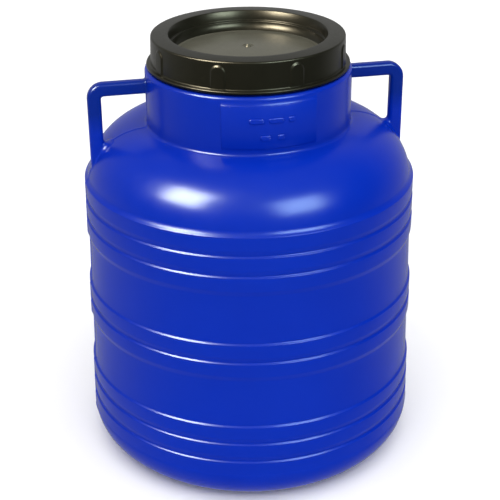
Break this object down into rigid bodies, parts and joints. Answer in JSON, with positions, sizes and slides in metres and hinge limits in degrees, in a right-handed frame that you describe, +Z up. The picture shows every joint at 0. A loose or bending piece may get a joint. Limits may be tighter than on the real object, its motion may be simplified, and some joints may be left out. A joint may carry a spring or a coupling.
{
  "type": "plastic fermenting barrel",
  "caption": "Wide-neck blow-moulded fermenting barrel with hoop bands, two loop handles on the shoulder and a ribbed screw lid with a recessed top and sealing ring.",
  "frame": {"origin": "on the barrel's axis, at the floor that the base stands on", "axes": "+Z up along the barrel's axis; the handles lie along X; the marking plate on the collar faces -Y"},
  "size_m": [0.3, 0.2998, 0.3854],
  "materials": {
    "barrel_plastic": "glossy blow-moulded blue polyethylene",
    "lid_plastic": "satin injection-moulded olive-black plastic",
    "seal_rubber": "soft off-white sealing foam rubber"
  },
  "bodies": {
    "barrel": {"barrel": "barrel_plastic", "handle_left": "barrel_plastic", "handle_right": "barrel_plastic"},
    "seal": {"sealing_ring": "seal_rubber"},
    "lid": {"lid": "lid_plastic"}
  },
  "joints": [
    {"name": "lid_rise", "type": "slide", "parent": "barrel", "child": "seal", "axis": [0, 0, 1], "range_m": [0, 0.0321]},
    {"name": "lid_turn", "type": "hinge", "parent": "seal", "child": "lid", "pos_m": [0, 0, 0.38], "axis": [0, 0, 1], "range_deg": [0, 1440]}
  ],
  "couplings": [
    {"joint": "lid_rise", "follows": "lid_turn", "m_per_rad": 0.0012732}
  ]
}
